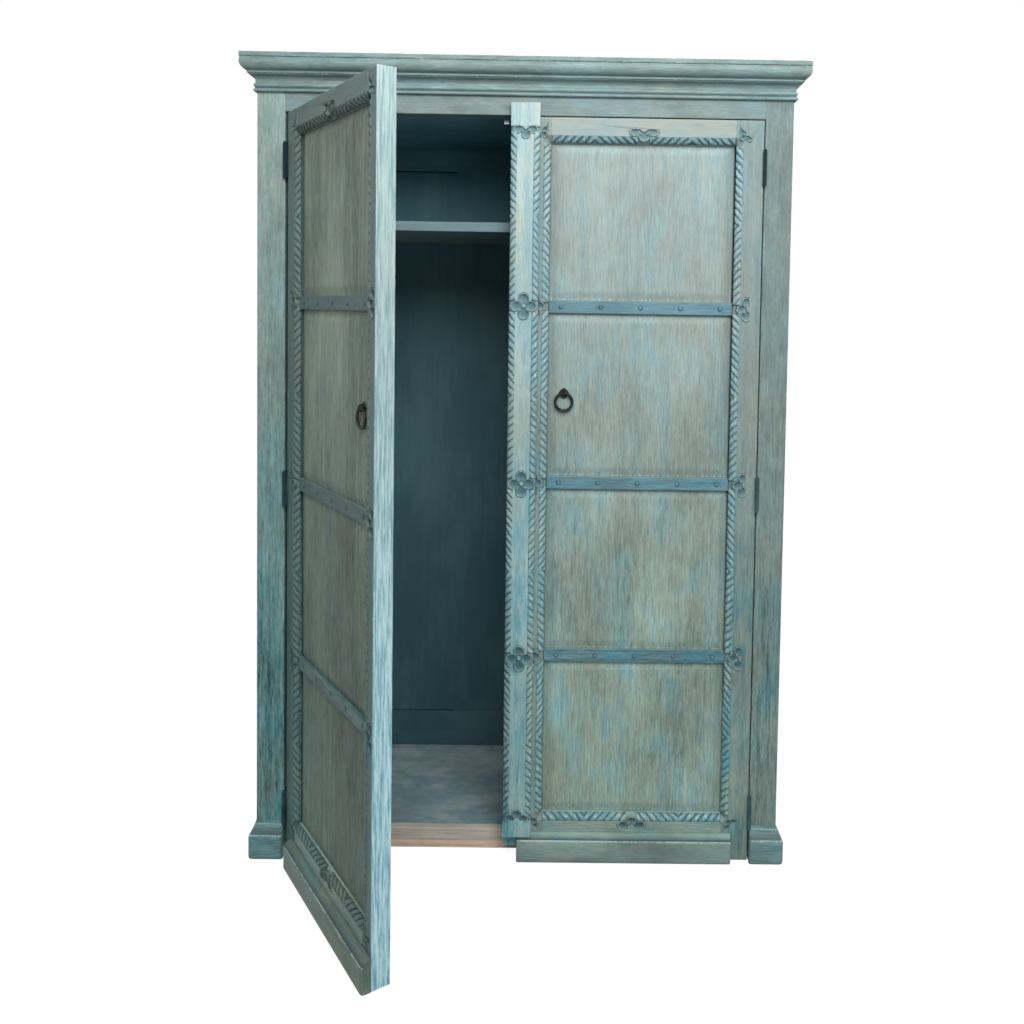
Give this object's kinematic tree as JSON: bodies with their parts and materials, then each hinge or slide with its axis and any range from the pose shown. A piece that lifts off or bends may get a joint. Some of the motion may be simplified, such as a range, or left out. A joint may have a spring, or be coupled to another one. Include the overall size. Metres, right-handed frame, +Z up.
{
  "type": "trastero cabinet",
  "caption": "Tall free-standing two-door wooden cabinet with moulded cornice, carved rope borders, quatrefoil rosettes, fielded panels, iron ring pulls, inside shelf and plinth.",
  "frame": {"origin": "centre of the case's footprint, on the floor", "axes": "+Z up, +Y towards the back, +X to the right as seen from the front; the front faces -Y"},
  "size_m": [1.452, 1.0287, 2.102],
  "materials": {
    "painted_wood": "dry-brushed blue-green paint over solid wood, rubbed to pale beige along the grain",
    "strap_paint": "stronger blue paint on the cross straps",
    "inside_paint": "dark blue-green paint, matt, worn inside",
    "bare_wood": "unpainted, dusty, grey-brown wood",
    "black_iron": "forged iron, dark brown-black, matt",
    "hinge_steel": "dull steel hinges, partly overpainted",
    "catch_steel": "plated steel catch"
  },
  "bodies": {
    "case": {"back_boards": "inside_paint", "back_bottom_rail": "inside_paint", "back_top_rail": "painted_wood", "bottom_rail_lower": "bare_wood", "bottom_rail_upper": "bare_wood", "ceiling_board": "inside_paint", "cornice_front": "painted_wood", "cornice_left_return": "painted_wood", "cornice_right_return": "painted_wood", "door_catch": "catch_steel", "dust_top": "bare_wood", "floor_bearers": "bare_wood", "floor_board": "inside_paint", "frieze_rail": "painted_wood", "hinge_pins": "hinge_steel", "hinge_post_leaves": "hinge_steel", "left_front_post": "painted_wood", "left_plinth_block": "painted_wood", "left_rear_post": "painted_wood", "left_side_panel": "painted_wood", "right_front_post": "painted_wood", "right_plinth_block": "painted_wood", "right_rear_post": "painted_wood", "right_side_panel": "painted_wood", "shelf": "inside_paint", "shelf_cleats": "inside_paint", "side_rails": "painted_wood"},
    "left_door": {"left_door_bottom_rail": "painted_wood", "left_door_cross_rails": "painted_wood", "left_door_hinge_leaves": "hinge_steel", "left_door_hinge_stile": "painted_wood", "left_door_meeting_stile": "painted_wood", "left_door_panels": "painted_wood", "left_door_plinth_moulding": "painted_wood", "left_door_ring_plate": "black_iron", "left_door_ring_staple": "black_iron", "left_door_rope_moulding": "painted_wood", "left_door_rosettes": "painted_wood", "left_door_strap_nails": "black_iron", "left_door_straps": "strap_paint", "left_door_top_rail": "painted_wood"},
    "right_door": {"right_door_astragal": "painted_wood", "right_door_astragal_rope": "painted_wood", "right_door_astragal_rosettes": "painted_wood", "right_door_bottom_rail": "painted_wood", "right_door_cross_rails": "painted_wood", "right_door_hinge_leaves": "hinge_steel", "right_door_hinge_stile": "painted_wood", "right_door_meeting_stile": "painted_wood", "right_door_panels": "painted_wood", "right_door_plinth_moulding": "painted_wood", "right_door_ring_plate": "black_iron", "right_door_ring_staple": "black_iron", "right_door_rope_moulding": "painted_wood", "right_door_rosettes": "painted_wood", "right_door_strap_nails": "black_iron", "right_door_straps": "strap_paint", "right_door_top_rail": "painted_wood"},
    "left_ring": {"left_door_ring": "black_iron"},
    "right_ring": {"right_door_ring": "black_iron"}
  },
  "joints": [
    {"name": "left_door_hinge", "type": "hinge", "parent": "case", "child": "left_door", "pos_m": [-0.6165, -0.2745, 1], "axis": [0, 0, -1], "range_deg": [-56, 54]},
    {"name": "right_door_hinge", "type": "hinge", "parent": "case", "child": "right_door", "pos_m": [0.6165, -0.2745, 1], "axis": [0, 0, 1], "range_deg": [0, 110]},
    {"name": "left_ring_swing", "type": "hinge", "parent": "left_door", "child": "left_ring", "pos_m": [-0.33357, -0.66777, 1.24338], "axis": [-0.5592, 0.829, 0], "range_deg": [0, 150]},
    {"name": "right_ring_swing", "type": "hinge", "parent": "right_door", "child": "right_ring", "pos_m": [0.108, -0.25985, 1.24338], "axis": [-1, 0, 0], "range_deg": [0, 150]}
  ]
}
